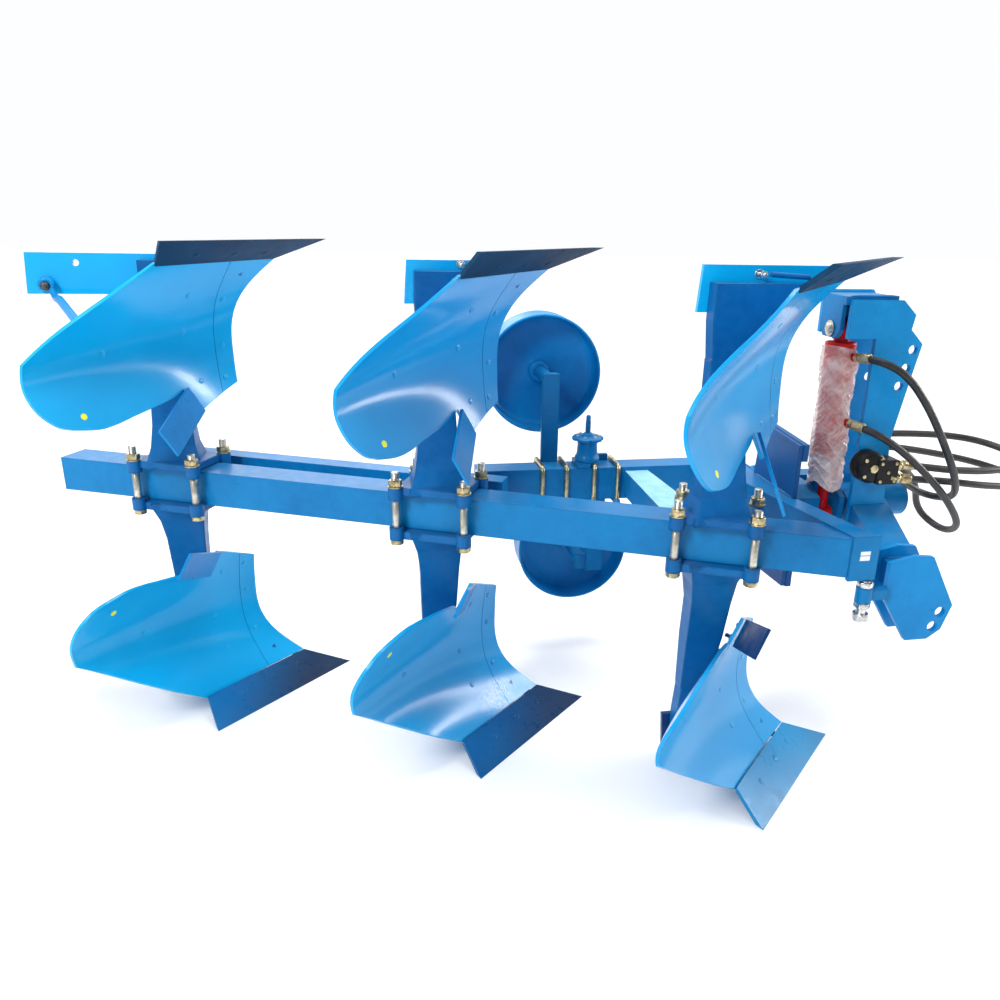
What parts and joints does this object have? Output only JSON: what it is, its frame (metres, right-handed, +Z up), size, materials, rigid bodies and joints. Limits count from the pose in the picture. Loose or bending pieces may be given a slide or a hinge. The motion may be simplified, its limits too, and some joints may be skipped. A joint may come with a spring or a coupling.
{
  "type": "reversible moldboard plough",
  "caption": "Mounted reversible moldboard plough: oblique beam with mirrored upper and lower bodies, gauge wheels and a headstock whose cylinder turns the frame over.",
  "frame": {"origin": "middle of the footprint, on the ground that the lower shares stand on", "axes": "+X the direction of travel, +Y left, +Z up"},
  "size_m": [2.8101, 1.2486, 1.38],
  "materials": {
    "frame_paint": "gloss blue enamel",
    "body_paint": "gloss blue enamel on sheet steel",
    "red_paint": "gloss red enamel",
    "zinc_plate": "yellow-white zinc plating",
    "black_paint": "satin black",
    "hose_rubber": "black hose cover",
    "clear_film": "wrinkled translucent packing film"
  },
  "bodies": {
    "headstock": {"control_valve": "black_paint", "cylinder_bracket": "frame_paint", "cylinder_hose_lower": "hose_rubber", "cylinder_hose_upper": "hose_rubber", "cylinder_top_pin": "zinc_plate", "hitch_arm_left": "frame_paint", "hitch_arm_right": "frame_paint", "hitch_plates_left": "frame_paint", "hitch_plates_right": "frame_paint", "hose_couplers": "zinc_plate", "mast_plate_left": "frame_paint", "mast_plate_right": "frame_paint", "shaft_housing": "frame_paint", "stop_bolts": "zinc_plate", "stop_brackets": "frame_paint", "supply_hose_lower": "hose_rubber", "supply_hose_upper": "hose_rubber"},
    "plough_frame": {"beam_spacers": "frame_paint", "clamp_studs": "zinc_plate", "cross_brace": "frame_paint", "depth_adjuster": "frame_paint", "end_stop_plate": "frame_paint", "front_cross_beam": "frame_paint", "inner_beam": "frame_paint", "lower_landsides": "body_paint", "lower_leg_front": "frame_paint", "lower_leg_middle": "frame_paint", "lower_leg_rear": "frame_paint", "lower_moldboard_front": "body_paint", "lower_moldboard_middle": "body_paint", "lower_moldboard_rear": "body_paint", "lower_share_front": "body_paint", "lower_share_middle": "body_paint", "lower_share_rear": "body_paint", "lower_turnover_wall": "frame_paint", "main_beam": "frame_paint", "rear_beam": "frame_paint", "tail_stays": "frame_paint", "trash_plates": "frame_paint", "turnover_shaft": "frame_paint", "turnover_yoke": "frame_paint", "upper_landsides": "body_paint", "upper_leg_front": "frame_paint", "upper_leg_middle": "frame_paint", "upper_leg_rear": "frame_paint", "upper_moldboard_front": "body_paint", "upper_moldboard_middle": "body_paint", "upper_moldboard_rear": "body_paint", "upper_share_front": "body_paint", "upper_share_middle": "body_paint", "upper_share_rear": "body_paint", "upper_turnover_wall": "frame_paint", "wheel_post_lower": "frame_paint", "wheel_post_upper": "frame_paint", "wheel_u_bolts": "zinc_plate"},
    "upper_gauge_wheel": {"gauge_wheel_upper": "frame_paint"},
    "lower_gauge_wheel": {"gauge_wheel_lower": "frame_paint"},
    "cylinder_body": {"cylinder_barrel": "red_paint", "wrap_film": "clear_film"},
    "cylinder_piston_rod": {"cylinder_rod": "red_paint"}
  },
  "joints": [
    {"name": "turnover", "type": "hinge", "parent": "headstock", "child": "plough_frame", "pos_m": [1.024, -0.003, 0.69], "axis": [-1, 0, 0], "range_deg": [0, 180]},
    {"name": "upper_wheel_spin", "type": "hinge", "parent": "plough_frame", "child": "upper_gauge_wheel", "pos_m": [0.229, 0.442, 0.986], "axis": [0, 1, 0], "continuous": true},
    {"name": "lower_wheel_spin", "type": "hinge", "parent": "plough_frame", "child": "lower_gauge_wheel", "pos_m": [0.348, 0.442, 0.392], "axis": [0, 1, 0], "continuous": true},
    {"name": "cylinder_swing", "type": "hinge", "parent": "headstock", "child": "cylinder_body", "pos_m": [0.948, -0.033, 1.19], "axis": [1, 0, 0], "range_deg": [0, 12.62]},
    {"name": "rod_slide", "type": "slide", "parent": "cylinder_body", "child": "cylinder_piston_rod", "axis": [0, -0.0423, -0.9991], "range_m": [-0.034, 0]}
  ],
  "couplings": [
    {"joint": "cylinder_swing", "follows": "turnover", "ratio": 0.067317},
    {"joint": "rod_slide", "follows": "turnover", "m_per_rad": -0.010667}
  ]
}
